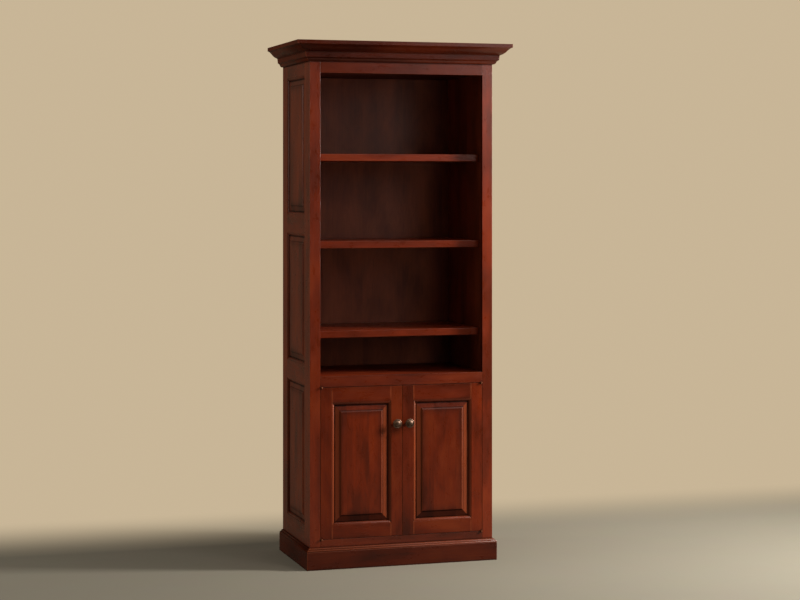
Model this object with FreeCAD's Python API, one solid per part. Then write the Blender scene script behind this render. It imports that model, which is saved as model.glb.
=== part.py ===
import FreeCAD
import Part
import math
import os

from FreeCAD import Vector

# Tall bookcase with a two-door cabinet below. Millimetres, +Z up. The origin is on the floor,
# under the centre of the whole piece; the doors face -Y and +X is to the viewer's right.

# ---------------------------------------------------------------- driving dimensions
overall_height = 2134.0
case_width = 780.0
case_depth = 460.0

# Heights of the face frame: the cabinet from the floor up, the top rail down from the case's top
bottom_rail_top = 119.5
bottom_rail_height = 63.5
door_opening_height = 615.5
mid_rail_height = 43.0
top_rail_height = 114.5

# Timber thicknesses and the way the case walls build up
frame_thickness = 20.0
side_thickness = 19.0
end_thickness = 21.5
frame_overhang = 3.0
case_board = 19.0
shelf_board = 28.5
back_thickness = 6.0
top_panel_thickness = 13.0
dado_depth = 6.0
back_rabbet = 10.0

# Moulded edge and panel groove, shared by the doors and the ends
sticking_width = 11.5
sticking_depth = 7.0
sticking_quirk = 1.0
groove_depth = 13.5
groove_front = 8.0
groove_width = 5.0
panel_float = 1.5
field_depth = 1.5
field_shoulder = 3.0
bevel_land = 1.0
bevel_width = 23.0
shoulder_width = 6.0

# Ends: stiles and rails, given by the width of their flat face
end_front_stile = 68.0
end_rear_stile = 78.0
end_bottom_rail = 167.0
end_lower_panel = 575.0
end_mid_rail = 76.0
end_middle_panel = 535.0
end_top_rail = 121.0

# Doors
door_thickness = 19.0
door_side_gap = 1.5
door_meeting_gap = 2.0
door_end_gap = 1.8
door_stile = 46.0
door_bottom_rail = 53.0
door_top_rail = 61.0

# Offset knife hinges: leaf above leaf on a shouldered pin in front of the door's face
leaf_thickness = 2.5
leaf_length = 38.0
leaf_width = 9.5
leaf_inset = 5.0
knuckle_radius = 3.5
pivot_offset = 4.0
hinge_pin_radius = 1.5
pin_running_clearance = 0.05

# Knobs
knob_radius = 19.0
knob_reach = 26.0
knob_foot_radius = 9.0
knob_waist_radius = 6.5
knob_drop = 154.0
knob_from_edge = 25.5
knob_ring_width = 5.0
knob_ring_height = 1.0
knob_rim_height = 1.5
knob_rim_chamfer = 2.0
knob_dome_height = 6.0
knob_foot_height = 1.5
knob_waist_height = 5.0
knob_neck = 8.0
knob_shank_radius = 3.0
knob_shank_length = 14.0
shank_clearance = 0.05
shank_end_gap = 1.0

# Magnetic catch behind the middle rail, and the strikes that it holds
catch_width = 60.0
catch_height = 32.0
catch_depth = 14.0
catch_drop = 12.0
catch_round = 3.0
strike_width = 18.0
strike_height = 8.0
strike_from_edge = 4.0
strike_below_top = 1.5

# Adjustable shelves on spoon pins: the clear heights below them, and below the cabinet's shelf
deck_bay = 152.5
lower_bay = 335.5
centre_bay = 327.5
cabinet_bay = 290.5
shelf_setback = 42.0
shelf_end_clearance = 1.0
shelf_back_clearance = 2.0
shelf_edge_round = 2.0
pin_pitch = 32.0
pin_places = 3
pin_stem_radius = 2.45
pin_hole_clearance = 0.05
pin_hole_depth = 10.0
pin_stem_length = 9.0
pin_tongue = (11.0, 10.0, 3.0)
pin_row_inset = 50.0

# Crown moulding: foot, bead, cove, flat band, cyma and top fillet, with a sloping hollow back.
# A bow is an arc's rise as a share of its chord.
crown_height = 81.5
crown_reach = 67.0
crown_foot = 6.5
crown_bead_out = 13.5
crown_bead_height = 8.0
crown_bead_land = 1.0
crown_bead_bow = 0.10
crown_cove_bow = 0.08
crown_band_out = 22.5
crown_band_bottom = 16.5
crown_band_height = 19.5
crown_band_lean = 2.0
crown_step = 2.0
crown_step_height = 1.0
cyma_break_out = 0.61
cyma_break_up = 0.59
cyma_round_bow = 0.08
cyma_hollow_bow = 0.05
crown_fillet = 15.0
crown_lip = 2.5
crown_ledge = 13.0
crown_top_land = 18.0

# Plinth moulding
plinth_height = 88.0
plinth_reach = 16.0
plinth_face_back = 0.8
plinth_quirk = 1.0
plinth_bead_height = 8.0
plinth_bead_out = 9.5
plinth_round_height = 7.0
plinth_top_land = 2.0
plinth_bead_bow = 0.3
plinth_round_bow = 0.2

# ---------------------------------------------------------------- places worked out from them
face_y = -(case_depth - crown_reach) / 2
rear_y = face_y + case_depth
half_case = case_width / 2
inner_wall_x = half_case - end_thickness - side_thickness
opening_x = inner_wall_x - frame_overhang
behind_frame_y = face_y + frame_thickness
back_panel_y = rear_y - back_thickness

mid_rail_bottom = bottom_rail_top + door_opening_height
deck_top = mid_rail_bottom + mid_rail_height
case_top_z = overall_height - top_panel_thickness
top_rail_bottom = case_top_z - top_rail_height
case_floor_bottom = bottom_rail_top - case_board
case_deck_bottom = deck_top - case_board
case_top_bottom = top_rail_bottom + frame_overhang
crown_bottom = overall_height - crown_height

os.makedirs("parts", exist_ok=True)


# ---------------------------------------------------------------- helpers
def board(x0, x1, y0, y1, z0, z1):
    """A square-edged board between two corners."""
    return Part.makeBox(x1 - x0, y1 - y0, z1 - z0, Vector(x0, y0, z0))


def bowed(start, end, bow):
    """Middle point of an arc from start to end; bow is its rise over its chord, to the left."""
    along = end[0] - start[0]
    up = end[1] - start[1]
    return ((start[0] + end[0]) / 2 - bow * up, (start[1] + end[1]) / 2 + bow * along)


def section(points, place):
    """A closed face through points; a third number in a point bows the edge that leads to it."""
    edges = []
    for here, there in zip(points, points[1:] + points[:1]):
        start = place(here[0], here[1])
        end = place(there[0], there[1])
        if len(there) == 3:
            middle = place(*bowed(here, there, there[2]))
            edges.append(Part.Arc(start, middle, end).toShape())
        else:
            edges.append(Part.LineSegment(start, end).toShape())
    return Part.Face(Part.Wire(edges))


cutter_margin = 1.0
nearby = 0.01


def plan_prism(points, z0, z1):
    """An upright prism over a plan outline."""
    outline = Part.makePolygon([Vector(x, y, z0) for x, y in points + points[:1]])
    return Part.Face(outline).extrude(Vector(0, 0, z1 - z0))


def mirrored(shape):
    """The same piece on the other side of the bookcase."""
    return shape.mirror(Vector(0, 0, 0), Vector(1, 0, 0))


def save(node, *solids):
    """Write one node: a single piece, or a group of like pieces."""
    shape = solids[0] if len(solids) == 1 else Part.makeCompound(list(solids))
    shape.exportStep("parts/" + node + ".step")


# ---------------------------------------------------------------- frame-and-panel work
sticking_slope = math.atan2(sticking_depth - sticking_quirk, sticking_width - sticking_quirk)
sticking_bow = math.tan(sticking_slope / 2) / 2


def moulded_member(low, high, moulded_low, moulded_high, thickness, place, run):
    """A stile or rail with a flat face from low to high, and a moulded, grooved edge where asked.

    place(across, depth) sets a point of the section, and run is the member's length as a vector.
    """
    low_edge = low - sticking_width if moulded_low else low
    high_edge = high + sticking_width if moulded_high else high
    blank = [(low_edge, 0), (high_edge, 0), (high_edge, thickness), (low_edge, thickness)]
    member = section(blank, place).extrude(run)
    for moulded, flat, away in ((moulded_low, low, -1), (moulded_high, high, 1)):
        if not moulded:
            continue
        quirk = flat + away * sticking_quirk
        edge = flat + away * sticking_width
        beyond = edge + away * cutter_margin
        corner = [
            (flat, -cutter_margin),
            (beyond, -cutter_margin),
            (beyond, sticking_depth),
            (edge, sticking_depth),
            (quirk, sticking_quirk, away * sticking_bow),
            (flat, sticking_quirk),
        ]
        bottom = edge - away * groove_depth
        groove_back = groove_front + groove_width
        groove = [
            (bottom, groove_front),
            (beyond, groove_front),
            (beyond, groove_back),
            (bottom, groove_back),
        ]
        member = member.cut(section(corner, place).extrude(run))
        member = member.cut(section(groove, place).extrude(run))
    return member


def raised_panel(x0, x1, z0, z1):
    """A raised panel for the window between flat faces x0..x1, z0..z1.

    Its tongue carries a shallow bevel, a steeper shoulder above it and a flat field.
    """
    into_groove = groove_depth - sticking_width - panel_float
    groove_back = groove_front + groove_width
    tongue_low = z0 - into_groove
    tongue_high = z1 + into_groove
    tongue = board(x0 - into_groove, x1 + into_groove, groove_front, groove_back, tongue_low, tongue_high)

    def frame_wire(inset, depth):
        left, right = x0 + inset, x1 - inset
        low, high = z0 + inset, z1 - inset
        corners = [(left, low), (right, low), (right, high), (left, high), (left, low)]
        return Part.makePolygon([Vector(x, depth, z) for x, z in corners])

    bevel_start = sticking_width + bevel_land
    bevel_end = bevel_start + bevel_width
    outlines = [
        frame_wire(bevel_start, groove_front),
        frame_wire(bevel_end, field_depth + field_shoulder),
        frame_wire(bevel_end + shoulder_width, field_depth),
    ]
    return tongue.fuse(Part.makeLoft(outlines, True, True)).removeSplitter()


def framed_panels(width, height, thickness, first_stile, second_stile, rails):
    """Stiles, coped rails and raised panels, face at y = 0, from x = 0 to width and z = 0 to height.

    rails lists the flat faces of the rails, (bottom, top), from the lowest to the highest.
    """
    def upright(across, depth):
        return Vector(across, depth, 0)

    def level(across, depth):
        return Vector(first_stile + sticking_width - groove_depth, depth, across)

    tall = Vector(0, 0, height)
    stiles = [
        moulded_member(0, first_stile, False, True, thickness, upright, tall),
        moulded_member(width - second_stile, width, True, False, thickness, upright, tall),
    ]
    span = width - first_stile - second_stile - 2 * (sticking_width - groove_depth)
    coped_rails = []
    for bottom, top in rails:
        rail = moulded_member(bottom, top, bottom > 0, top < height, thickness, level, Vector(span, 0, 0))
        for stile in stiles:
            rail = rail.cut(stile)
        coped_rails.append(rail)
    panels = []
    for below, above in zip(rails, rails[1:]):
        panels.append(raised_panel(first_stile, width - second_stile, below[1], above[0]))
    return stiles, coped_rails, panels


# ---------------------------------------------------------------- case
lower_shelf_bottom = deck_top + deck_bay
centre_shelf_bottom = lower_shelf_bottom + shelf_board + lower_bay
upper_shelf_bottom = centre_shelf_bottom + shelf_board + centre_bay
shelf_bottoms = {
    "shelf_upper": upper_shelf_bottom,
    "shelf_centre": centre_shelf_bottom,
    "shelf_lower": lower_shelf_bottom,
    "cabinet_shelf": bottom_rail_top + cabinet_bay,
}
shelf_front_y = face_y + shelf_setback
shelf_back_y = back_panel_y - shelf_back_clearance
pin_rows_y = (shelf_front_y + pin_row_inset, shelf_back_y - pin_row_inset)
pin_hole_radius = pin_stem_radius + pin_hole_clearance


def pin_hole_heights():
    """Heights of the shelf-pin holes: a group around each adjustable shelf."""
    heights = []
    for shelf_bottom in shelf_bottoms.values():
        for place in range(pin_places):
            step = place - (pin_places - 1) / 2
            heights.append(shelf_bottom - pin_tongue[2] / 2 + step * pin_pitch)
    return heights


def case_side():
    """Right-hand inner side: housings for the fixed boards, a rabbet for the back, pin holes."""
    outer_x = inner_wall_x + side_thickness
    dado_x = inner_wall_x + dado_depth
    rabbet_x = inner_wall_x + back_rabbet
    side = board(inner_wall_x, outer_x, behind_frame_y, rear_y, 0, case_top_z)
    for low in (case_floor_bottom, case_deck_bottom, case_top_bottom):
        side = side.cut(board(inner_wall_x, dado_x, behind_frame_y, rear_y, low, low + case_board))
    side = side.cut(board(inner_wall_x, rabbet_x, back_panel_y, rear_y, case_floor_bottom, case_top_z))
    holes = []
    for height in pin_hole_heights():
        for row_y in pin_rows_y:
            mouth = Vector(inner_wall_x, row_y, height)
            holes.append(Part.makeCylinder(pin_hole_radius, pin_hole_depth, mouth, Vector(1, 0, 0)))
    return side.cut(Part.makeCompound(holes))


def fixed_board(low):
    """A fixed board housed in both sides, from behind the face frame to the back panel."""
    reach = inner_wall_x + dado_depth
    return board(-reach, reach, behind_frame_y, back_panel_y, low, low + case_board)


def build_case():
    side = case_side()
    save("case_side_right", side)
    save("case_side_left", mirrored(side))
    save("case_top", fixed_board(case_top_bottom))
    save("case_deck", fixed_board(case_deck_bottom))
    save("case_floor", fixed_board(case_floor_bottom))
    reach = inner_wall_x + back_rabbet
    save("back_panel", board(-reach, reach, back_panel_y, rear_y, case_floor_bottom, case_top_z))
    ledge_out = crown_reach - crown_top_land
    top_x = half_case + ledge_out
    save("top_panel", board(-top_x, top_x, face_y - ledge_out, rear_y, case_top_z, overall_height))


# ---------------------------------------------------------------- hinges
door_edge_x = opening_x - door_side_gap
door_bottom = bottom_rail_top + door_end_gap
door_top = mid_rail_bottom - door_end_gap
pivot_x = door_edge_x - knuckle_radius
pivot_y = face_y - pivot_offset


def leaf_blank(low):
    """One right-hand knife leaf, unbored, standing on height low."""
    leaf_back = face_y + leaf_inset + leaf_width
    leaf_front = face_y + leaf_inset
    top = low + leaf_thickness
    strip = board(door_edge_x - leaf_length, door_edge_x, leaf_front, leaf_back, low, top)
    arm = board(door_edge_x - 2 * knuckle_radius, door_edge_x, pivot_y, leaf_back, low, top)
    knuckle = Part.makeCylinder(knuckle_radius, leaf_thickness, Vector(pivot_x, pivot_y, low))
    return strip.fuse(arm).fuse(knuckle).removeSplitter()


def bored(leaf, low, radius):
    return leaf.cut(Part.makeCylinder(radius, leaf_thickness, Vector(pivot_x, pivot_y, low)))


def shouldered_pin(low, high, collar_low):
    """A hinge pin through both leaves, with the collar that spaces them."""
    pin = Part.makeCylinder(hinge_pin_radius, high - low, Vector(pivot_x, pivot_y, low))
    collar = Part.makeCylinder(knuckle_radius, door_end_gap, Vector(pivot_x, pivot_y, collar_low))
    return pin.fuse(collar).removeSplitter()


lower_case_leaf_z = bottom_rail_top - leaf_thickness
upper_case_leaf_z = mid_rail_bottom
lower_door_leaf_z = door_bottom
upper_door_leaf_z = door_top - leaf_thickness


def build_case_hinges():
    leaves = []
    for low in (lower_case_leaf_z, upper_case_leaf_z):
        leaf = bored(leaf_blank(low), low, hinge_pin_radius)
        leaves += [leaf, mirrored(leaf)]
    save("case_hinge_leaves", *leaves)
    lower_pin = shouldered_pin(lower_case_leaf_z, door_bottom + leaf_thickness, bottom_rail_top)
    upper_pin = shouldered_pin(upper_door_leaf_z, mid_rail_bottom + leaf_thickness, door_top)
    save("hinge_pins", lower_pin, mirrored(lower_pin), upper_pin, mirrored(upper_pin))


# ---------------------------------------------------------------- face frame
def build_face_frame():
    stile = board(opening_x, half_case, face_y, behind_frame_y, 0, case_top_z)
    save("frame_stile_right", stile)
    save("frame_stile_left", mirrored(stile))

    def rail(low, high):
        return board(-opening_x, opening_x, face_y, behind_frame_y, low, high)

    bottom_rail = rail(bottom_rail_top - bottom_rail_height, bottom_rail_top)
    mid_rail = rail(mid_rail_bottom, deck_top)
    lower_mortise = leaf_blank(lower_case_leaf_z)
    upper_mortise = leaf_blank(upper_case_leaf_z)
    save("frame_bottom_rail", bottom_rail.cut(lower_mortise).cut(mirrored(lower_mortise)))
    save("frame_mid_rail", mid_rail.cut(upper_mortise).cut(mirrored(upper_mortise)))
    save("frame_top_rail", rail(top_rail_bottom, case_top_z))


# ---------------------------------------------------------------- panelled ends
def build_ends():
    width = rear_y - behind_frame_y
    lower_rail = end_bottom_rail + end_lower_panel
    upper_rail = lower_rail + end_mid_rail + end_middle_panel
    rails = [
        (0, end_bottom_rail),
        (lower_rail, lower_rail + end_mid_rail),
        (upper_rail, upper_rail + end_mid_rail),
        (case_top_z - end_top_rail, case_top_z),
    ]
    stiles, coped_rails, panels = framed_panels(
        width, case_top_z, end_thickness, end_front_stile, end_rear_stile, rails
    )
    names = ["end_front_stile", "end_rear_stile"]
    names += ["end_bottom_rail", "end_lower_rail", "end_upper_rail", "end_top_rail"]
    names += ["end_lower_panel", "end_middle_panel", "end_upper_panel"]
    for name, piece in zip(names, stiles + coped_rails + panels):
        piece = piece.copy()
        piece.rotate(Vector(0, 0, 0), Vector(0, 0, 1), 90)
        piece.translate(Vector(half_case, behind_frame_y, 0))
        save("right_" + name, piece)
        save("left_" + name, mirrored(piece))


# ---------------------------------------------------------------- crown and plinth
def crown_points():
    """Crown section: reach out from the case, height above the crown's bottom edge."""
    band_out = crown_band_out + crown_band_lean
    band_top = crown_band_bottom + crown_band_height
    lip_out = crown_reach - crown_lip
    fillet_bottom = crown_height - crown_fillet
    cyma_out = band_out + crown_step
    cyma_foot = band_top + crown_step_height
    cyma_middle_out = cyma_out + cyma_break_out * (lip_out - cyma_out)
    cyma_middle = cyma_foot + cyma_break_up * (fillet_bottom - cyma_foot)
    ledge_out = crown_reach - crown_top_land
    ledge = crown_height - top_panel_thickness
    slope_out = ledge_out - crown_ledge
    return [
        (0, 0),
        (crown_foot, 0),
        (crown_bead_out, crown_bead_height, -crown_bead_bow),
        (crown_bead_out, crown_bead_height + crown_bead_land),
        (crown_band_out, crown_band_bottom, crown_cove_bow),
        (band_out, band_top),
        (cyma_out, band_top),
        (cyma_out, cyma_foot),
        (cyma_middle_out, cyma_middle, -cyma_round_bow),
        (lip_out, fillet_bottom, cyma_hollow_bow),
        (crown_reach, fillet_bottom),
        (crown_reach, crown_height),
        (ledge_out, crown_height),
        (ledge_out, ledge),
        (slope_out, ledge),
        (0, ledge - slope_out),
    ]


def plinth_points():
    """Plinth section: a flat board under a bead and a rounded top edge."""
    face = plinth_reach - plinth_face_back
    bead_top = plinth_height - plinth_round_height
    bead_bottom = bead_top - plinth_bead_height
    return [
        (0, 0),
        (face, 0),
        (face, bead_bottom - plinth_quirk),
        (face - plinth_quirk, bead_bottom),
        (plinth_bead_out, bead_top, -plinth_bead_bow),
        (plinth_bead_out - plinth_quirk, bead_top),
        (plinth_top_land, plinth_height, -plinth_round_bow),
        (0, plinth_height),
    ]


def wrap_moulding(points, reach, low, height, name):
    """Front length and two returns of a moulding around the case, mitred at the front corners."""
    out_x = half_case + reach
    out_y = face_y - reach
    front_plan = [(-half_case, face_y), (half_case, face_y), (out_x, out_y), (-out_x, out_y)]
    side_plan = [(half_case, face_y), (half_case, rear_y), (out_x, rear_y), (out_x, out_y)]
    front_run = section(points, lambda out, up: Vector(-out_x, face_y - out, low + up))
    front_run = front_run.extrude(Vector(2 * out_x, 0, 0))
    side_run = section(points, lambda out, up: Vector(half_case + out, out_y, low + up))
    side_run = side_run.extrude(Vector(0, rear_y - out_y, 0))
    side = side_run.common(plan_prism(side_plan, low, low + height))
    save(name + "_front", front_run.common(plan_prism(front_plan, low, low + height)))
    save(name + "_right", side)
    save(name + "_left", mirrored(side))


# ---------------------------------------------------------------- shelves
def build_shelves():
    reach = inner_wall_x - shelf_end_clearance
    pins = []
    for name, low in shelf_bottoms.items():
        shelf = board(-reach, reach, shelf_front_y, shelf_back_y, low, low + shelf_board)
        front_edges = []
        for edge in shelf.Edges:
            at_front = abs(edge.CenterOfMass.y - shelf_front_y) < nearby
            along_front = abs(edge.CenterOfMass.x) < nearby
            if at_front and along_front:
                front_edges.append(edge)
        save(name, shelf.makeFillet(shelf_edge_round, front_edges))
        for row_y in pin_rows_y:
            pin = shelf_pin(row_y, low)
            pins += [pin, mirrored(pin)]
    save("shelf_pins", *pins)


def shelf_pin(row_y, shelf_bottom):
    """A spoon pin in the right-hand side: round stem in its hole, flat tongue under the shelf."""
    length, width, thickness = pin_tongue
    tongue = board(
        inner_wall_x - length,
        inner_wall_x,
        row_y - width / 2,
        row_y + width / 2,
        shelf_bottom - thickness,
        shelf_bottom,
    )
    root = Vector(inner_wall_x, row_y, shelf_bottom - thickness / 2)
    stem = Part.makeCylinder(pin_stem_radius, pin_stem_length, root, Vector(1, 0, 0))
    return tongue.fuse(stem)


# ---------------------------------------------------------------- doors
def knob(center_x, center_z):
    """A turned knob: foot, waist, ringed head and domed centre, on a shank in the lock stile."""
    dome_radius = knob_radius - knob_ring_width
    dome_base = knob_reach - knob_dome_height
    ring_top = dome_base + knob_ring_height
    rim_top = ring_top - knob_rim_chamfer
    rim_bottom = rim_top - knob_rim_height
    ring_middle = knob_radius - knob_ring_width / 2
    dome_bow = math.tan(math.atan2(knob_dome_height, dome_radius) / 2) / 2
    points = [
        (0, -knob_shank_length),
        (knob_shank_radius, -knob_shank_length),
        (knob_shank_radius, 0),
        (knob_foot_radius, 0),
        (knob_foot_radius, knob_foot_height),
        (knob_waist_radius, knob_waist_height),
        (knob_waist_radius, knob_neck),
        (ring_middle, rim_bottom - knob_rim_chamfer),
        (knob_radius, rim_bottom),
        (knob_radius, rim_top),
        (ring_middle, ring_top),
        (dome_radius, dome_base),
        (0, knob_reach, -dome_bow),
    ]
    profile = section(points, lambda radius, out: Vector(center_x + radius, face_y - out, center_z))
    return profile.revolve(Vector(center_x, face_y, center_z), Vector(0, 1, 0), 360)


def build_doors():
    width = door_edge_x - door_meeting_gap / 2
    height = door_top - door_bottom
    rails = [(0, door_bottom_rail), (height - door_top_rail, height)]
    stiles, coped_rails, panels = framed_panels(width, height, door_thickness, door_stile, door_stile, rails)
    corner = Vector(door_meeting_gap / 2, face_y, door_bottom)
    for piece in stiles + coped_rails + panels:
        piece.translate(corner)
    lock_stile, hinge_stile = stiles
    bottom_rail, top_rail = coped_rails

    lower_blank = leaf_blank(lower_door_leaf_z)
    upper_blank = leaf_blank(upper_door_leaf_z)
    hinge_stile = hinge_stile.cut(lower_blank).cut(upper_blank)
    bore = hinge_pin_radius + pin_running_clearance
    leaves = [bored(lower_blank, lower_door_leaf_z, bore), bored(upper_blank, upper_door_leaf_z, bore)]

    knob_x = door_meeting_gap / 2 + knob_from_edge
    knob_z = door_top - knob_drop
    shank_hole = Part.makeCylinder(
        knob_shank_radius + shank_clearance,
        knob_shank_length + shank_end_gap,
        Vector(knob_x, face_y, knob_z),
        Vector(0, 1, 0),
    )
    lock_stile = lock_stile.cut(shank_hole)

    door_back_y = face_y + door_thickness
    strike_x = door_meeting_gap / 2 + strike_from_edge
    strike_end = strike_x + strike_width
    strike_top = door_top - strike_below_top
    strike_low = strike_top - strike_height
    strike = board(strike_x, strike_end, door_back_y, behind_frame_y, strike_low, strike_top)
    pieces = {
        "hinge_stile": [hinge_stile],
        "lock_stile": [lock_stile],
        "top_rail": [top_rail],
        "bottom_rail": [bottom_rail],
        "panel": panels,
        "knob": [knob(knob_x, knob_z)],
        "hinge_leaves": leaves,
        "strike": [strike],
    }
    for name, solids in pieces.items():
        save("door_right_" + name, *solids)
        save("door_left_" + name, *[mirrored(solid) for solid in solids])


def build_catch():
    """A double magnetic catch screwed to the back of the middle rail, hanging below its edge."""
    low = mid_rail_bottom - catch_drop
    half_width = catch_width / 2
    catch_back_y = behind_frame_y + catch_depth
    body = board(-half_width, half_width, behind_frame_y, catch_back_y, low, low + catch_height)
    back_edges = []
    for edge in body.Edges:
        if abs(edge.CenterOfMass.y - catch_back_y) < nearby:
            back_edges.append(edge)
    save("magnetic_catch", body.makeFillet(catch_round, back_edges))


build_case()
build_face_frame()
build_ends()
wrap_moulding(crown_points(), crown_reach, crown_bottom, crown_height, "crown")
wrap_moulding(plinth_points(), plinth_reach, 0, plinth_height, "plinth")
build_shelves()
build_case_hinges()
build_doors()
build_catch()
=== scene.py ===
import math

import bmesh
import bpy
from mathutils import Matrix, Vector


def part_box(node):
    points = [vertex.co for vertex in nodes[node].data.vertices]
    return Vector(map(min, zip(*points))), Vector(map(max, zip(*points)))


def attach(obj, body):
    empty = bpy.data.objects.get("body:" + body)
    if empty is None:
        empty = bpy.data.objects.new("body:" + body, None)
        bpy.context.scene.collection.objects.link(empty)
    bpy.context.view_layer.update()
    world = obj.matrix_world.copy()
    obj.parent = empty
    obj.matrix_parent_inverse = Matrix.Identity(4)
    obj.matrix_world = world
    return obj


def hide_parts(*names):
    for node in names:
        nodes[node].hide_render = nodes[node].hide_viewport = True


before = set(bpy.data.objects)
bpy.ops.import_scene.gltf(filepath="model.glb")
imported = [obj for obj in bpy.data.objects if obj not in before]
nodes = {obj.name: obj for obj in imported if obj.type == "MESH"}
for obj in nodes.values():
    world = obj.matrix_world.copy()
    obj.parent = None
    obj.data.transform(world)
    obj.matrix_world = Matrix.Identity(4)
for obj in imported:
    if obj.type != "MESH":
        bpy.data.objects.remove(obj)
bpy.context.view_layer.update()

# ------------------------------------------------------------------------------------------
# The room: a plain floor that runs out into a warm pale surround behind the bookcase. The light
# is a low window to the right with a small one above it, two weak lamps ahead, a broad one
# overhead, and what the room throws back from the left.
floor_colour = (0.235, 0.215, 0.166, 1)
floor_half = 14.0
floor_fade = (0.40, 1.30)
surround_colour = (0.58, 0.465, 0.31, 1)
ambient_colour = (1.0, 0.94, 0.86, 1)
ambient_strength = 0.06
lamp_aim = (0, 0, 1.1)
card_lift = 0.001
camera_place = (-2.334286, -7.737172, 1.557818)
camera_turn = -17.13
camera_lens = 86.866
camera_drop = -0.14539


def add(tree, kind, settings=None, **inputs):
    """One shader node. An input is a number, a colour, or the socket that it takes its value from."""
    made = tree.nodes.new("ShaderNode" + kind)
    for name, value in (settings or {}).items():
        setattr(made, name, value)
    for name, value in inputs.items():
        socket = made.inputs[int(name[1:])] if name[1:].isdigit() else made.inputs[name.replace("_", " ")]
        if isinstance(value, bpy.types.NodeSocket):
            tree.links.new(value, socket)
        else:
            socket.default_value = value
    return made


def math_node(tree, operation, *values, clamp=False):
    values = {f"i{place}": value for place, value in enumerate(values)}
    return add(tree, "Math", {"operation": operation, "use_clamp": clamp}, **values).outputs[0]


def new_material(name):
    """An empty material: itself, its tree, and the output node that its shader goes to."""
    material = bpy.data.materials.new(name)
    material.use_nodes = True
    material.node_tree.nodes.clear()
    return material, material.node_tree, material.node_tree.nodes.new("ShaderNodeOutputMaterial")


def seen_rays(tree):
    """1 for the rays that show the surround: those of the camera, of gloss and through glass."""
    path = add(tree, "LightPath").outputs
    seen = math_node(tree, "ADD", path["Is Camera Ray"], path["Is Glossy Ray"])
    return math_node(tree, "ADD", seen, path["Is Transmission Ray"], clamp=True)


world = bpy.data.worlds.new("surround")
bpy.context.scene.world = world
world.use_nodes = True
tree = world.node_tree
tree.nodes.clear()
ambient = add(tree, "Background", Color=ambient_colour, Strength=ambient_strength)
backdrop = add(tree, "Background", Color=surround_colour, Strength=1.0)
mixed = add(tree, "MixShader", i0=seen_rays(tree), i1=ambient.outputs[0], i2=backdrop.outputs[0])
tree.links.new(mixed.outputs[0], tree.nodes.new("ShaderNodeOutputWorld").inputs[0])

material, tree, output = new_material("floor_paint")
speckle = add(tree, "TexNoise", Scale=180.0, Detail=4.0).outputs["Color"]
tint = add(tree, "MixRGB", {"blend_type": "MULTIPLY"}, Fac=0.06, Color1=floor_colour, Color2=speckle)
paint = add(tree, "BsdfPrincipled", Base_Color=tint.outputs[0], Roughness=0.9)
back = add(tree, "SeparateXYZ", Vector=add(tree, "TexCoord").outputs["Object"]).outputs[1]
fade = {"From_Min": floor_fade[0], "From_Max": floor_fade[1]}
faded = add(tree, "MapRange", {"interpolation_type": "SMOOTHSTEP"}, Value=back, **fade).outputs[0]
faded = math_node(tree, "MULTIPLY", faded, seen_rays(tree))
backdrop = add(tree, "Emission", Color=surround_colour, Strength=1.0)
mixed = add(tree, "MixShader", i0=faded, i1=paint.outputs[0], i2=backdrop.outputs[0])
tree.links.new(mixed.outputs[0], output.inputs[0])
mesh = bpy.data.meshes.new("floor")
corner_glaze_and_shade = [(-floor_half, -floor_half, 0), (floor_half, -floor_half, 0), (floor_half, floor_half, 0)]
mesh.from_pydata(corner_glaze_and_shade + [(-floor_half, floor_half, 0)], [], [(0, 1, 2, 3)])
floor = bpy.data.objects.new("floor", mesh)
floor.data.materials.append(material)
bpy.context.scene.collection.objects.link(floor)


def soft_lamp(name, azimuth, elevation, distance, size, power, colour, glossy=True):
    """A soft lamp, size wide and high, turned to the bookcase. Azimuth 0 is in front, 90 at the right."""
    lamp = bpy.data.objects.new(name, bpy.data.lights.new(name, "AREA"))
    lamp.data.shape = "RECTANGLE"
    lamp.data.size, lamp.data.size_y = size
    lamp.data.energy = power
    lamp.data.color = colour
    flat = distance * math.cos(math.radians(elevation))
    lamp.location = (
        lamp_aim[0] + flat * math.sin(math.radians(azimuth)),
        lamp_aim[1] - flat * math.cos(math.radians(azimuth)),
        lamp_aim[2] + distance * math.sin(math.radians(elevation)),
    )
    lamp.rotation_euler = (math.radians(90 - elevation), 0, math.radians(azimuth))
    lamp.visible_glossy = glossy
    bpy.context.scene.collection.objects.link(lamp)


soft_lamp("window_lamp", 68, 16, 3.2, (0.5, 1.3), 180, (1.0, 0.96, 0.90))
soft_lamp("high_lamp", 56, 50, 2.8, (0.6, 0.6), 8, (1.0, 0.97, 0.92))
soft_lamp("near_lamp", 27, 29, 3.1, (0.7, 1.8), 12, (1.0, 0.96, 0.91))
soft_lamp("low_lamp", 14, 3, 3.1, (0.6, 0.8), 6.5, (1.0, 0.96, 0.91), glossy=False)
soft_lamp("room_lamp", -97, 20, 4.5, (1.6, 1.6), 58, (1.0, 0.95, 0.88))
soft_lamp("ceiling_lamp", 5, 72, 3.6, (2.4, 2.4), 15, (1.0, 0.97, 0.93))

# glowing cards behind the left end and far ahead, seen only in the gloss, paint the shaded wall
# and the dark room into the reflections: painted reflections
for name, y, left, right, top, shade in (
    ("rear_card", 0.45, -2.6, -0.30, 2.9, (0.105, 0.086, 0.056)),
    ("front_card", -9.0, -7.0, 9.0, 4.6, (0.012, 0.010, 0.008)),
):
    material, tree, output = new_material(name)
    glow = add(tree, "Emission", Color=(*shade, 1), Strength=1.0)
    tree.links.new(glow.outputs[0], output.inputs[0])
    mesh = bpy.data.meshes.new(name)
    foot = [(left, y, card_lift), (right, y, card_lift)]
    mesh.from_pydata(foot + [(right, y, top), (left, y, top)], [], [(0, 1, 2, 3)])
    card = bpy.data.objects.new(name, mesh)
    card.data.materials.append(material)
    card.visible_camera = False
    card.visible_shadow = False
    card.visible_diffuse = False
    bpy.context.scene.collection.objects.link(card)

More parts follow.
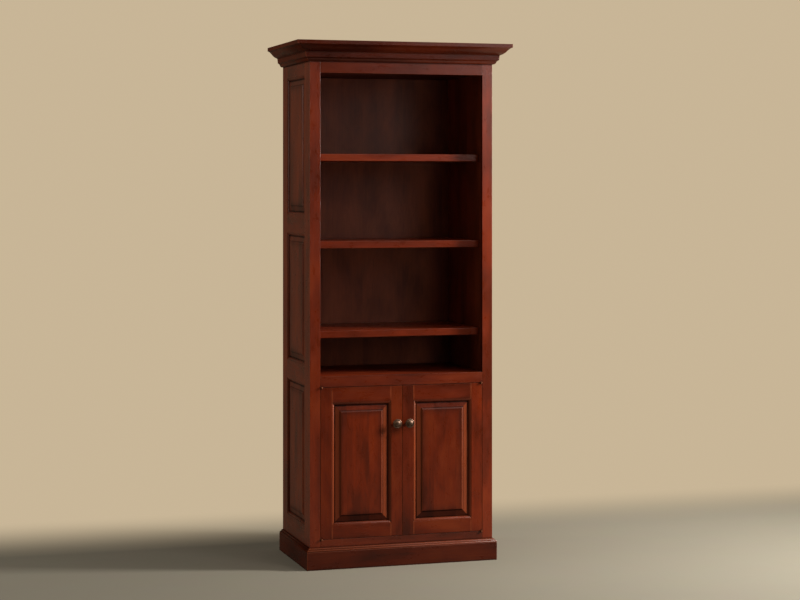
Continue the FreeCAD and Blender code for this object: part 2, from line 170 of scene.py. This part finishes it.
camera = bpy.data.objects.new("camera", bpy.data.cameras.new("camera"))
camera.location = camera_place
camera.rotation_euler = (math.radians(90), 0, math.radians(camera_turn))
camera.data.lens = camera_lens
camera.data.shift_y = camera_drop
bpy.context.scene.collection.objects.link(camera)
bpy.context.scene.camera = camera
bpy.context.scene.view_settings.view_transform = "Standard"

# ------------------------------------------------------------------------------------------
# The face frame: two stiles and three rails of solid cherry, glued up flat with butt joints.
# It is stained red-brown, glazed dark and painted with shade in the corners, rubbed back and
# painted with highlight on the edges, and lacquered.
cherry_light = (0.205, 0.0270, 0.0040)
cherry_mid = (0.150, 0.0158, 0.0022)
cherry_dark = (0.080, 0.0094, 0.0018)
# the near-black used for toner, glaze and painted shade
glaze_and_shade_colour = (0.008, 0.0016, 0.0008)
rubbed_and_highlight_colour = (0.30, 0.062, 0.018)
frame_arris = 0.0009
# where in its log a board is sawn, the growth rings round a leaning pith, and the pores' depth
log_spread = (9.0, 7.0, 5.0)
rings_per_metre = 330.0
pith_lean = 0.10
grain_depth = 0.00015
# how far the glaze and painted shade reach from a corner, and the wear and painted highlight from an arris
corner_reach = 0.008
arris_reach = 0.0018
# how far the toner reaches in, as a share of the board's width and of its length
side_margin = 0.30
end_margin = 0.14
# the directions across a board of the front, through it and along its grain
front_up = (0, 1, 2)
front_level = (2, 1, 0)


def ease_edges(node, width, segments=2):
    """Round the sharp arrises of a piece, as sandpaper does, and leave its faces as they are."""
    piece = nodes[node]
    piece.modifiers.new("weld", "WELD").merge_threshold = 1e-5
    flatten = piece.modifiers.new("flatten", "DECIMATE")
    flatten.decimate_type = "DISSOLVE"
    flatten.angle_limit = math.radians(0.5)
    arris = piece.modifiers.new("arris", "BEVEL")
    arris.width = width
    arris.segments = segments
    arris.limit_method = "ANGLE"
    arris.angle_limit = math.radians(28)
    arris.harden_normals = True


def finish_with(material, *names):
    for name in names:
        nodes[name].data.materials.clear()
        nodes[name].data.materials.append(material)


def colour(rgb):
    return (*rgb, 1)


def ramp(tree, value, stops):
    """A ramp through (place, colour or grey level) stops."""
    made = add(tree, "ValToRGB", Fac=value)
    elements = made.color_ramp.elements
    while len(elements) < len(stops):
        elements.new(0.5)
    for element, (place, level) in zip(elements, stops):
        element.position = place
        element.color = colour(level) if isinstance(level, tuple) else (level, level, level, 1)
    return made.outputs[0]


def spread(tree, value, low, high, to_low, to_high):
    """A value from low..high, taken to to_low..to_high and held there."""
    ends = {"From_Min": low, "From_Max": high, "To_Min": to_low, "To_Max": to_high}
    return add(tree, "MapRange", Value=value, **ends).outputs[0]


def noise(tree, point, scale, detail=2.0, roughness=0.5, distortion=0.0):
    """Noise over a stretched point: scale is the number of features a metre across, deep and along."""
    stretched = add(tree, "VectorMath", {"operation": "MULTIPLY"}, i0=point, i1=scale).outputs[0]
    made = add(tree, "TexNoise", Vector=stretched, Scale=1.0, Detail=detail, Roughness=roughness)
    made.inputs["Distortion"].default_value = distortion
    return made.outputs["Fac"]


def from_side(tree, place):
    """How far a 0..1 place on a piece is from the nearer of its two sides."""
    return math_node(tree, "MINIMUM", place, math_node(tree, "SUBTRACT", 1.0, place))


def multiplied(tree, base, factor, amount):
    return add(tree, "MixRGB", {"blend_type": "MULTIPLY"}, Fac=amount, Color1=base, Color2=factor).outputs[0]


def blended(tree, base, other, amount):
    return add(tree, "MixRGB", Fac=amount, Color1=base, Color2=other).outputs[0]


def stained_cherry(
    name, axes, tones, boards=4.0, gloss_ior=1.36, roughness=0.30, shading=(0.0, 0.0), slope_rub_and_highlight=0.0,
    low_side_shade=0.0, corner_glaze_and_shade=0.97, raised=None, end_glaze_and_shade=1.0,
):
    """Stained, glazed and lacquered cherry.

    axes names the directions across the board, through it and along its grain; tones are the dark,
    middle and light of the stain; boards is the width of the boards in a glued-up panel; shading is
    how much darker the toner leaves the margins of the piece than its middle, at its sides and at
    its ends; moulded is how far its sloping faces are made lighter, as stain rubbed back and as
    painted highlight; toned is how much painted shade lies on the slopes that face its low side,
    and corners how much glazing and painted shade lies where surfaces meet; raised is the width
    and height of a raised panel in millimetres, and end_glaze_and_shade how much glazing its end grain
    takes, with painted shade added where it faces down.
    """
    dark, mid, light = tones
    material, tree, output = new_material(name)
    coordinates = add(tree, "TexCoord").outputs
    place = add(tree, "SeparateXYZ", Vector=coordinates["Object"]).outputs
    across, deep, along = (place[axis] for axis in axes)
    piece = add(tree, "ObjectInfo").outputs["Random"]

    # which board of the panel this is, and where in its own log it was sawn
    offset = math_node(tree, "MULTIPLY_ADD", piece, 3.0, across)
    strip = math_node(tree, "DIVIDE", offset, boards)
    number = math_node(tree, "FLOOR", strip)
    middle = math_node(tree, "SUBTRACT", math_node(tree, "FRACT", strip), 0.5)
    middle = math_node(tree, "MULTIPLY", middle, boards)
    seed = math_node(tree, "MULTIPLY_ADD", piece, 91.7, number)
    own = add(tree, "TexWhiteNoise", {"noise_dimensions": "1D"}, W=seed).outputs
    own_parts = add(tree, "SeparateXYZ", Vector=own["Color"]).outputs
    sawn = add(tree, "CombineXYZ", X=middle, Y=deep, Z=along).outputs[0]
    shift = add(tree, "VectorMath", {"operation": "MULTIPLY"}, i0=own["Color"], i1=log_spread).outputs[0]
    point = add(tree, "VectorMath", {"operation": "ADD"}, i0=sawn, i1=shift).outputs[0]

    # growth rings around a pith that runs a little askew behind the board
    side = math_node(tree, "MULTIPLY_ADD", own_parts[0], 0.05, math_node(tree, "SUBTRACT", middle, 0.025))
    tilt = math_node(tree, "MULTIPLY", math_node(tree, "SUBTRACT", own_parts[1], 0.5), pith_lean)
    below = math_node(tree, "ADD", math_node(tree, "MULTIPLY", along, tilt), deep)
    below = math_node(tree, "ADD", below, math_node(tree, "MULTIPLY_ADD", own_parts[2], 0.06, 0.05))
    far = math_node(tree, "MULTIPLY_ADD", side, side, math_node(tree, "MULTIPLY", below, below))
    far = math_node(tree, "SQRT", far)
    wander = noise(tree, point, (9, 9, 1.6), 3.0)
    ring = math_node(tree, "MULTIPLY_ADD", far, rings_per_metre, math_node(tree, "MULTIPLY", wander, 9.0))
    late = ramp(tree, math_node(tree, "FRACT", ring), [(0.0, 0.25), (0.55, 0.05), (0.90, 1.0), (1.0, 0.25)])

    blotch = noise(tree, point, (10, 10, 3.6), 3.0, 0.5, 0.4)
    mottle = noise(tree, point, (38, 38, 16), 3.0, 0.6, 0.3)
    streak = noise(tree, point, (120, 120, 2.4), 3.0, 0.6, 0.2)
    fibre = noise(tree, point, (900, 900, 16))
    pore = ramp(tree, noise(tree, point, (2100, 2100, 75), 1.0), [(0.31, 0.0), (0.37, 1.0)])
    gum = ramp(tree, noise(tree, point, (150, 150, 5), 2.0, 0.5, 0.4), [(0.70, 1.0), (0.76, 0.45)])

    tone = math_node(tree, "MULTIPLY_ADD", blotch, 0.85, -0.03)
    tone = math_node(tree, "MULTIPLY_ADD", mottle, 0.16, tone)
    tone = math_node(tree, "MULTIPLY_ADD", streak, 0.20, tone)
    tone = math_node(tree, "MULTIPLY_ADD", late, -0.05, tone)
    tone = math_node(tree, "MULTIPLY_ADD", own["Value"], 0.03, tone)
    base = ramp(tree, tone, [(0.40, dark), (0.59, mid), (0.78, light)])
    base = multiplied(tree, base, ramp(tree, fibre, [(0.34, 0.84), (0.66, 1.10)]), 0.6)
    base = multiplied(tree, base, pore, 0.25)
    base = multiplied(tree, base, gum, 0.6)

    # toner at the margins, glaze and painted shade in the corners, and edges rubbed back to the wood with
    # painted highlight
    corner = add(tree, "AmbientOcclusion", {"samples": 6}, Distance=corner_reach).outputs["AO"]
    glaze_and_shade = spread(tree, corner, 0.55, 0.95, corner_glaze_and_shade, 0.0)
    facing = add(tree, "SeparateXYZ", Vector=coordinates["Normal"]).outputs
    box = add(tree, "SeparateXYZ", Vector=coordinates["Generated"]).outputs
    if max(shading) > 0:
        sides = spread(tree, from_side(tree, box[axes[0]]), 0.0, side_margin, shading[0], 0.0)
        ends = spread(tree, from_side(tree, box[axes[2]]), 0.0, end_margin, shading[1], 0.0)
        margin = math_node(tree, "MAXIMUM", sides, ends)
        margin = math_node(tree, "MULTIPLY", margin, spread(tree, blotch, 0.3, 0.6, 1.3, 0.7))
        base = blended(tree, base, colour(glaze_and_shade_colour), margin)
    if raised:
        inset_across = math_node(tree, "MULTIPLY", from_side(tree, box[axes[0]]), raised[0])
        inset_along = math_node(tree, "MULTIPLY", from_side(tree, box[axes[2]]), raised[1])
        inset = math_node(tree, "MINIMUM", inset_across, inset_along)
        inset = math_node(tree, "MULTIPLY_ADD", math_node(tree, "SUBTRACT", mottle, 0.5), 3.0, inset)
        # painted shadow lines along the panel's sight line and shoulder, with glaze, by the distance in from
        # the frame
        first, last = panel_glaze_and_shadow[0][0], panel_glaze_and_shadow[-1][0]
        inset = spread(tree, inset, panel_sight + first, panel_sight + last, 0.0, 1.0)
        glaze_and_shadow_lines = ramp(tree, inset, [((mm - first) / (last - first), level) for mm, level in panel_glaze_and_shadow])
        glaze_and_shadow_lines = math_node(tree, "MULTIPLY", glaze_and_shadow_lines, spread(tree, blotch, 0.3, 0.6, 1.15, 0.85))
        # the slopes across the grain take up the glaze as end grain does, and are painted darker still
        # where they face down, as painted shade
        steep = math_node(tree, "MULTIPLY_ADD", facing[axes[2]], 0.5, 0.5)
        end_grain_and_shade = math_node(tree, "MULTIPLY", ramp(tree, steep, end_grain_glaze_and_shade), end_glaze_and_shade)
        glaze_and_shade = math_node(tree, "MAXIMUM", math_node(tree, "MAXIMUM", glaze_and_shade, glaze_and_shadow_lines), end_grain_and_shade)
    # painted shade on the slopes that face the piece's low side
    if low_side_shade:
        glaze_and_shade = math_node(tree, "MAXIMUM", glaze_and_shade, spread(tree, facing[axes[0]], -0.04, -0.20, 0.0, low_side_shade))
    base = blended(tree, base, colour(glaze_and_shade_colour), glaze_and_shade)
    # the sloping faces are lightened: stain rubbed back, and painted highlight on them
    if slope_rub_and_highlight:
        slope = math_node(tree, "ABSOLUTE", facing[axes[0]])
        slope = spread(tree, slope, 0.05, 0.14, 0.0, slope_rub_and_highlight)
        slope = math_node(tree, "MULTIPLY", slope, math_node(tree, "SUBTRACT", 1.0, glaze_and_shade))
        base = blended(tree, base, colour(rubbed_and_highlight_colour), slope)
    # the arrises are lightened: wear rubbed back to the wood, and painted highlight along the edges
    within = {"inside": True, "only_local": True, "samples": 6}
    inside = add(tree, "AmbientOcclusion", within, Distance=arris_reach).outputs["AO"]
    rub_and_highlight = spread(tree, inside, 0.90, 0.42, 0.0, 0.55)
    rub_and_highlight = math_node(tree, "MULTIPLY", rub_and_highlight, spread(tree, mottle, 0.35, 0.6, 0.25, 1.0))
    base = blended(tree, base, colour(rubbed_and_highlight_colour), rub_and_highlight)

    sheen = math_node(tree, "MULTIPLY_ADD", math_node(tree, "SUBTRACT", mottle, 0.5), 0.22, roughness)
    sheen = math_node(tree, "MULTIPLY_ADD", glaze_and_shade, 0.15, sheen)
    lacquer = spread(tree, glaze_and_shade, 0.15, 0.85, 0.5, 0.14)
    relief = math_node(tree, "MULTIPLY_ADD", fibre, 0.5, pore)
    relief = math_node(tree, "MULTIPLY_ADD", late, -0.3, relief)
    bump = add(tree, "Bump", Strength=0.35, Distance=grain_depth, Height=relief).outputs[0]
    shader = add(tree, "BsdfPrincipled", Base_Color=base, Roughness=sheen, Normal=bump)
    shader.inputs["IOR"].default_value = gloss_ior
    tree.links.new(lacquer, shader.inputs["Specular IOR Level"])
    tree.links.new(shader.outputs[0], output.inputs[0])
    return material


front_tones = (cherry_dark, cherry_mid, cherry_light)


def stained(strength):
    """The front's stain tones for a board that takes them lighter (over 1) or darker."""
    return tuple(tuple(strength * level for level in tone) for tone in front_tones)


frame_stile = {"axes": front_up, "shading": (0.0, 0.22)}
frame_rail = {"axes": front_level, "shading": (0.2, 0.2)}
# the top rail is stained darker than the other rails as painted shade under the crown, and the right stile
# carries painted shade on its inner face
for name, strength, gloss_ior, low_side_shade, board in (
    ("frame_stile_left", 1.12, 1.45, 0.0, frame_stile),
    ("frame_stile_right", 1.28, 1.45, 0.4, frame_stile),
    ("frame_mid_rail", 0.90, 1.45, 0.0, frame_rail),
    ("frame_bottom_rail", 0.88, 1.45, 0.0, frame_rail),
    ("frame_top_rail", 0.68, 1.36, 0.0, frame_rail),
):
    cherry = stained_cherry(name, tones=stained(strength), gloss_ior=gloss_ior, low_side_shade=low_side_shade, **board)
    finish_with(cherry, name)
    ease_edges(name, frame_arris)

# ------------------------------------------------------------------------------------------
# The panelled ends: stiles and rails of the same cherry, moulded on their inner edges and
# coped together round three raised panels that float in the grooves.
end_arris = 0.0005
end_up = (1, 0, 2)
end_deep = (2, 0, 1)
# how many millimetres of a raised panel's margin are hidden in the grooves of its frame
panel_sight = 12.0
# how much glaze and painted shadow lie on the panel, by the distance in from its frame in millimetres,
# and how much glaze, with painted shade where they face down, on its slopes across the grain, by how far
# they face down (0) or up (1)
panel_glaze_and_shadow = [
    (-2.0, 1.0), (3.4, 0.95), (5.6, 0.50), (8.2, 0.05), (20.5, 0.05), (22.4, 0.50), (24.2, 0.92),
    (26.2, 0.40), (27.6, 0.05), (30.0, 0.05), (31.2, 0.45), (36.0, 0.28), (46.0, 0.10), (62.0, 0.0),
]
end_grain_glaze_and_shade = [(0.28, 0.88), (0.42, 0.72), (0.48, 0.0), (0.52, 0.0), (0.56, 0.06), (0.72, 0.50)]
# on the end stiles the slopes that face forward carry painted shade, and the others are lightened as rub and
# painted highlight
end_upright = stained_cherry("end_cherry_upright", end_up, front_tones, slope_rub_and_highlight=0.3, low_side_shade=0.7)
end_level = stained_cherry("end_cherry_level", end_deep, front_tones, shading=(0.2, 0.2))
end_foot = stained_cherry("end_cherry_foot", end_deep, stained(0.8), gloss_ior=1.30, shading=(0.2, 0.2))
for side in ("left_end_", "right_end_"):
    finish_with(end_upright, side + "front_stile", side + "rear_stile")
    finish_with(end_level, side + "lower_rail", side + "upper_rail", side + "top_rail")
    finish_with(end_foot, side + "bottom_rail")
    for part in ("lower_panel", "middle_panel", "upper_panel"):
        low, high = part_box(side + part)
        size = [1000 * (high[axis] - low[axis]) for axis in (1, 2)]
        cherry = stained_cherry(
            side + part, end_up, front_tones, boards=0.11, shading=(0.25, 0.25), slope_rub_and_highlight=0.2,
            raised=size, end_glaze_and_shade=0.6,
        )
        finish_with(cherry, side + part)
    for part in ("front_stile", "rear_stile", "bottom_rail", "lower_rail", "upper_rail", "top_rail"):
        ease_edges(side + part, end_arris)

# ------------------------------------------------------------------------------------------
# The case behind the frame: sides, three fixed boards, a thin back and a thin top panel. They
# are cherry veneer with less colour rubbed into it than the front.
laid_flat = (1, 2, 0)
floor_tones = ((0.120, 0.0260, 0.0095), (0.205, 0.0460, 0.0170), (0.285, 0.0700, 0.0270))
side_tones = ((0.112, 0.0236, 0.0085), (0.190, 0.0413, 0.0153), (0.262, 0.0625, 0.0236))
back_tones = ((0.110, 0.0250, 0.0094), (0.180, 0.0422, 0.0164), (0.246, 0.0620, 0.0245))
inner_board = {"boards": 0.16, "gloss_ior": 1.27, "roughness": 0.46, "corner_glaze_and_shade": 0.1}
inner_back = {"boards": 0.18, "gloss_ior": 1.42, "roughness": 0.48, "corner_glaze_and_shade": 0.1}
# the case top is stained dark as painted shade under it, and the deck light as painted light in the lowest
# bay
for name, axes, tones, board, pieces in (
    ("inner_cherry_upright", end_up, side_tones, inner_board, ("case_side_left", "case_side_right")),
    ("inner_cherry_level", laid_flat, floor_tones, inner_board, ("case_floor", "top_panel")),
    ("inner_cherry_deck", laid_flat, stained(0.90), inner_board, ("case_deck",)),
    ("inner_cherry_top", laid_flat, stained(0.35), inner_board, ("case_top",)),
    ("inner_cherry_back", front_up, back_tones, inner_back, ("back_panel",)),
):
    finish_with(stained_cherry(name, axes, tones, **board), *pieces)

# ------------------------------------------------------------------------------------------
# The shelves: thick boards glued up from solid cherry, with rounded front arrises. Each lies
# on four nickel-plated spoon pins in holes in the sides.
shelf_board = stained_cherry("shelf_cherry", laid_flat, stained(1.05), boards=0.12)
finish_with(shelf_board, "shelf_upper", "shelf_centre", "shelf_lower", "cabinet_shelf")
hollow_reach = 0.004
edge_reach = 0.002
metal_grain = 0.00006


def plated_metal(name, bright, dull, roughness, tarnish_scale=60.0, wear=0.5):
    """Metal with tarnish in its hollows and patches, and bright where hands have rubbed it."""
    material, tree, output = new_material(name)
    point = add(tree, "TexCoord").outputs["Object"]
    patch = noise(tree, point, (tarnish_scale,) * 3, 4.0, 0.6, 0.3)
    fine = noise(tree, point, (1600,) * 3, 2.0)
    hollow = add(tree, "AmbientOcclusion", {"samples": 6}, Distance=hollow_reach).outputs["AO"]
    within = {"inside": True, "only_local": True, "samples": 6}
    edge = add(tree, "AmbientOcclusion", within, Distance=edge_reach).outputs["AO"]
    worn = spread(tree, edge, 0.95, 0.45, 0.0, wear)
    clean = spread(tree, patch, 0.36, 0.64, 0.15, 0.75)
    clean = math_node(tree, "MULTIPLY", clean, spread(tree, hollow, 0.35, 0.9, 0.2, 1.0))
    clean = math_node(tree, "ADD", clean, worn, clamp=True)
    base = blended(tree, colour(dull), colour(bright), clean)
    rough = math_node(tree, "MULTIPLY_ADD", clean, -0.12, roughness)
    rough = math_node(tree, "MULTIPLY_ADD", fine, 0.12, rough)
    bump = add(tree, "Bump", Strength=0.2, Distance=metal_grain, Height=fine).outputs[0]
    shader = add(tree, "BsdfPrincipled", Base_Color=base, Roughness=rough, Metallic=1.0, Normal=bump)
    tree.links.new(shader.outputs[0], output.inputs[0])
    return material


nickel = plated_metal("pin_nickel", (0.66, 0.62, 0.56), (0.40, 0.37, 0.33), 0.28)
finish_with(nickel, "shelf_pins")

# ------------------------------------------------------------------------------------------
# Crown and plinth: built-up cherry mouldings, mitred round the front corners, glued and pinned
# to the case.
moulding_arris = 0.0006
# the plinth front's cap slopes are lightened with painted highlight
plinth_front = {"shading": (0.2, 0.1), "slope_rub_and_highlight": 0.3}
plinth_return = {"shading": (0.2, 0.2), "gloss_ior": 1.12}
# the crown is stained much darker than the front, as painted shade on its down-facing mouldings
for name, axes, strength, board, pieces in (
    ("crown_cherry_level", front_level, 0.43, {}, ("crown_front",)),
    ("crown_cherry_deep", end_deep, 0.64, {"gloss_ior": 1.14}, ("crown_left", "crown_right")),
    ("plinth_cherry_level", front_level, 0.51, plinth_front, ("plinth_front",)),
    ("plinth_cherry_deep", end_deep, 0.45, plinth_return, ("plinth_left", "plinth_right")),
):
    finish_with(stained_cherry(name, axes, stained(strength), **board), *pieces)
    for piece in pieces:
        ease_edges(piece, moulding_arris)

# ------------------------------------------------------------------------------------------
# The doors: moulded stiles and rails coped together round one raised panel, glazed dark and
# painted with shadow round the bevel, painted with shade on the slopes that face left and with
# highlight on the others, and rubbed out brighter in the middle of the field.
door_arris = 0.0008
door_stile = {"slope_rub_and_highlight": 0.45, "low_side_shade": 0.50, "shading": (0.06, 0.36)}
door_rail = {"slope_rub_and_highlight": 0.08, "shading": (0.25, 0.0)}
door_upright = stained_cherry("door_cherry_upright", front_up, stained(0.90), **door_stile)
door_upright_pale = stained_cherry("door_cherry_upright_pale", front_up, stained(1.22), **door_stile)
door_level = stained_cherry("door_cherry_level", front_level, stained(0.86), **door_rail)
low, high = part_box("door_left_panel")
door_panel_size = [1000 * (high[axis] - low[axis]) for axis in (0, 2)]
for side, hinge_cherry, strength in (
    ("door_left_", door_upright, 1.16),
    ("door_right_", door_upright_pale, 0.88),
):
    finish_with(hinge_cherry, side + "hinge_stile")
    finish_with(door_upright, side + "lock_stile")
    finish_with(door_level, side + "top_rail", side + "bottom_rail")
    cherry = stained_cherry(
        side + "cherry_panel", front_up, stained(strength), boards=0.095, shading=(0.35, 0.35),
        slope_rub_and_highlight=0.45, low_side_shade=0.30, raised=door_panel_size,
    )
    finish_with(cherry, side + "panel")
    for part in ("hinge_stile", "lock_stile", "top_rail", "bottom_rail", "panel"):
        ease_edges(side + part, door_arris)

# ------------------------------------------------------------------------------------------
# The knobs: turned and cast in bronze with a dark patina, a ringed head and a domed centre,
# each on a shank screwed into the lock stile.
knob_steps = 72
# the outline of the turning, from its foot to its dome: (radius, distance out) in millimetres
knob_profile = [
    (9.0, 0.0), (9.2, 0.5), (9.0, 1.3), (8.2, 1.9), (7.2, 3.0), (6.6, 4.4), (6.3, 6.0), (6.4, 7.6),
    (7.0, 9.2), (8.4, 11.0), (10.6, 12.8), (13.4, 14.5), (16.0, 15.8), (17.8, 16.9), (18.7, 17.9),
    (18.9, 18.8), (18.6, 19.7), (17.8, 20.4), (16.8, 20.8), (15.9, 20.8), (15.1, 20.4), (14.5, 19.8),
    (14.05, 19.9), (13.6, 20.6), (12.6, 21.7), (11.0, 23.0), (8.8, 24.3), (6.2, 25.2), (3.4, 25.8),
    (0.0, 26.0),
]
knob_reach = knob_profile[-1][1] / 1000


def turned(name, profile, centre, steps, material, body):
    """A piece turned about an axis that points out of the doors, from (radius, out) points in mm."""
    shape = bmesh.new()
    rings = []
    for radius, out in profile:
        if radius == 0:
            rings.append([shape.verts.new((centre[0], centre[1] - out / 1000, centre[2]))])
            continue
        ring = []
        for step in range(steps):
            angle = 2 * math.pi * step / steps
            x = centre[0] + radius / 1000 * math.cos(angle)
            z = centre[2] + radius / 1000 * math.sin(angle)
            ring.append(shape.verts.new((x, centre[1] - out / 1000, z)))
        rings.append(ring)
    for inner, outer in zip(rings, rings[1:]):
        for step in range(steps):
            after = (step + 1) % steps
            face = [inner[step], inner[after]] + ([outer[after], outer[step]] if len(outer) > 1 else outer)
            shape.faces.new(face)
    shape.faces.new(rings[0])
    bmesh.ops.recalc_face_normals(shape, faces=shape.faces)
    for face in shape.faces:
        face.smooth = len(face.verts) < 5
    mesh = bpy.data.meshes.new(name)
    shape.to_mesh(mesh)
    shape.free()
    mesh.materials.append(material)
    piece = bpy.data.objects.new(name, mesh)
    bpy.context.scene.collection.objects.link(piece)
    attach(piece, body)
    return piece


bronze = plated_metal("knob_bronze", (0.225, 0.145, 0.108), (0.048, 0.027, 0.019), 0.40, 90.0, 0.45)
for side in ("left", "right"):
    low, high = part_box(f"door_{side}_knob")
    centre = ((low[0] + high[0]) / 2, low[1] + knob_reach, (low[2] + high[2]) / 2)
    name = f"turned_knob_{side}"
    knob = turned(name, knob_profile, centre, knob_steps, bronze, f"door_{side}")
    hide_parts(f"door_{side}_knob")

# ------------------------------------------------------------------------------------------
# The knife hinges: brass leaves let into the ends of the hinge stiles and into the frame, on
# shouldered pins. Each leaf is held by two countersunk brass screws.
screw_from_end = (0.007, 0.020)
leaf_row = 0.00475
# the screw heads, in millimetres: the top of the rim and the floor of the recess are given as
# shares of the full size, and each recess is turned a little further than the last, in radians
screw_radius = 3.2
screw_proud = 0.06
screw_sunk = 0.3
screw_rim = 0.97
screw_rim_steps = 32
recess_arm = (1.9, 0.45)
recess_depth = 0.9
recess_taper = 0.55
recess_turn = 0.7

brass = plated_metal("hinge_brass", (0.30, 0.110, 0.060), (0.120, 0.044, 0.026), 0.50)
finish_with(brass, "case_hinge_leaves", "hinge_pins", "door_left_hinge_leaves", "door_right_hinge_leaves")


def screw_heads(name, heads, radius, material, body):
    """Flat cross-recessed screw heads. Each head is (centre, outward) in metres: one mesh for all."""
    shape = bmesh.new()
    for number, (centre, outward) in enumerate(heads):
        reach, half = recess_arm
        cross = []
        for quarter in range(4):
            angle = math.pi / 2 * quarter + recess_turn * number
            cos, sin = math.cos(angle), math.sin(angle)
            for u, v in ((reach, -half), (reach, half), (half, half)):
                cross.append((u * cos - v * sin, u * sin + v * cos))
        angles = [2 * math.pi * step / screw_rim_steps for step in range(screw_rim_steps)]
        rim = [(radius * math.cos(angle), radius * math.sin(angle)) for angle in angles]
        flat = max(range(3), key=lambda axis: abs(outward[axis]))
        plane = [axis for axis in range(3) if axis != flat]

        def vert(point, height):
            place = list(centre)
            place[plane[0]] += point[0] / 1000
            place[plane[1]] += point[1] / 1000
            place[flat] += outward[flat] * height / 1000
            return shape.verts.new(place)

        top = [vert(point, screw_proud) for point in cross]
        narrow = [(u * recess_taper, v * recess_taper) for u, v in cross]
        bottom = [vert(point, screw_proud - recess_depth) for point in narrow]
        edge = [vert((u * screw_rim, v * screw_rim), screw_proud) for u, v in rim]
        below = [vert(point, -screw_sunk) for point in rim]
        loops = [shape.edges.new((ring[i - 1], ring[i])) for ring in (top, edge) for i in range(len(ring))]
        bmesh.ops.triangle_fill(shape, use_beauty=True, edges=loops)
        for upper, lower in ((top, bottom), (edge, below)):
            for i in range(len(upper)):
                shape.faces.new((upper[i - 1], upper[i], lower[i], lower[i - 1]))
        shape.faces.new(bottom)
    bmesh.ops.recalc_face_normals(shape, faces=shape.faces)
    mesh = bpy.data.meshes.new(name)
    shape.to_mesh(mesh)
    shape.free()
    mesh.materials.append(material)
    piece = bpy.data.objects.new(name, mesh)
    bpy.context.scene.collection.objects.link(piece)
    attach(piece, body)
    return piece


up, down = (0, 0, 1), (0, 0, -1)
lower_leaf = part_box("frame_bottom_rail")[1][2]
upper_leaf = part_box("frame_mid_rail")[0][2]
case_heads = []
for side, sign in (("left", -1), ("right", 1)):
    low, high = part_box(f"door_{side}_hinge_leaves")
    inner = high[0] if sign < 0 else low[0]
    y = high[1] - leaf_row
    door_heads = []
    for along in screw_from_end:
        x = inner + sign * along
        door_heads += [((x, y, low[2]), down), ((x, y, high[2]), up)]
        case_heads += [((x, y, lower_leaf), up), ((x, y, upper_leaf), down)]
    name = f"door_{side}_hinge_screws"
    screw_heads(name, door_heads, screw_radius, brass, f"door_{side}")
screw_heads("case_hinge_screws", case_heads, screw_radius, brass, "case")

# ------------------------------------------------------------------------------------------
# The catch: a moulded brown body with two magnets between steel pole plates, screwed behind
# the middle rail, and a small steel strike plate on the back of each door.
pole_plate = (0.016, 0.004, 0.0012)
pole_proud = 0.00004
pole_arris = 0.0002
pole_rows = (0.0028, 0.0088)
catch_screw_radius = 3.0
catch_screw_drop = 0.010
catch_screw_places = (-0.022, 0.022)
strike_screw_radius = 2.4
strike_screw_sink = 0.00002
plastic_grain = 0.00008
steel = plated_metal("catch_steel", (0.62, 0.61, 0.58), (0.36, 0.35, 0.33), 0.34)
finish_with(steel, "door_left_strike", "door_right_strike")

material, tree, output = new_material("catch_plastic")
point = add(tree, "TexCoord").outputs["Object"]
grain = noise(tree, point, (2200,) * 3, 2.0)
cloud = noise(tree, point, (70,) * 3, 3.0)
base = blended(tree, colour((0.030, 0.016, 0.010)), colour((0.052, 0.028, 0.018)), cloud)
rough = math_node(tree, "MULTIPLY_ADD", grain, 0.15, 0.42)
bump = add(tree, "Bump", Strength=0.3, Distance=plastic_grain, Height=grain).outputs[0]
plastic = add(tree, "BsdfPrincipled", Base_Color=base, Roughness=rough, Normal=bump)
tree.links.new(plastic.outputs[0], output.inputs[0])
finish_with(material, "magnetic_catch")

catch_low, catch_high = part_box("magnetic_catch")
centre_y = catch_low[1] + pole_plate[1] / 2 - pole_proud
shape = bmesh.new()
for side in ("left", "right"):
    strike_low, strike_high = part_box(f"door_{side}_strike")
    centre_x = (strike_low[0] + strike_high[0]) / 2
    for row in pole_rows:
        cube = bmesh.ops.create_cube(shape, size=1.0)["verts"]
        bmesh.ops.scale(shape, vec=pole_plate, verts=cube)
        bmesh.ops.translate(shape, vec=(centre_x, centre_y, catch_low[2] + row), verts=cube)
bmesh.ops.bevel(shape, geom=shape.edges[:], offset=pole_arris, segments=1, affect="EDGES")
mesh = bpy.data.meshes.new("catch_pole_plates")
shape.to_mesh(mesh)
shape.free()
mesh.materials.append(steel)
poles = bpy.data.objects.new("catch_pole_plates", mesh)
bpy.context.scene.collection.objects.link(poles)
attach(poles, "case")

back = (0, 1, 0)
height = catch_high[2] - catch_screw_drop
heads = [((x, catch_high[1], height), back) for x in catch_screw_places]
screw_heads("catch_screws", heads, catch_screw_radius, steel, "case")
for side in ("left", "right"):
    low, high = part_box(f"door_{side}_strike")
    middle = ((low[0] + high[0]) / 2, high[1] - strike_screw_sink, (low[2] + high[2]) / 2)
    name = f"door_{side}_strike_screw"
    screw_heads(name, [(middle, back)], strike_screw_radius, steel, f"door_{side}")
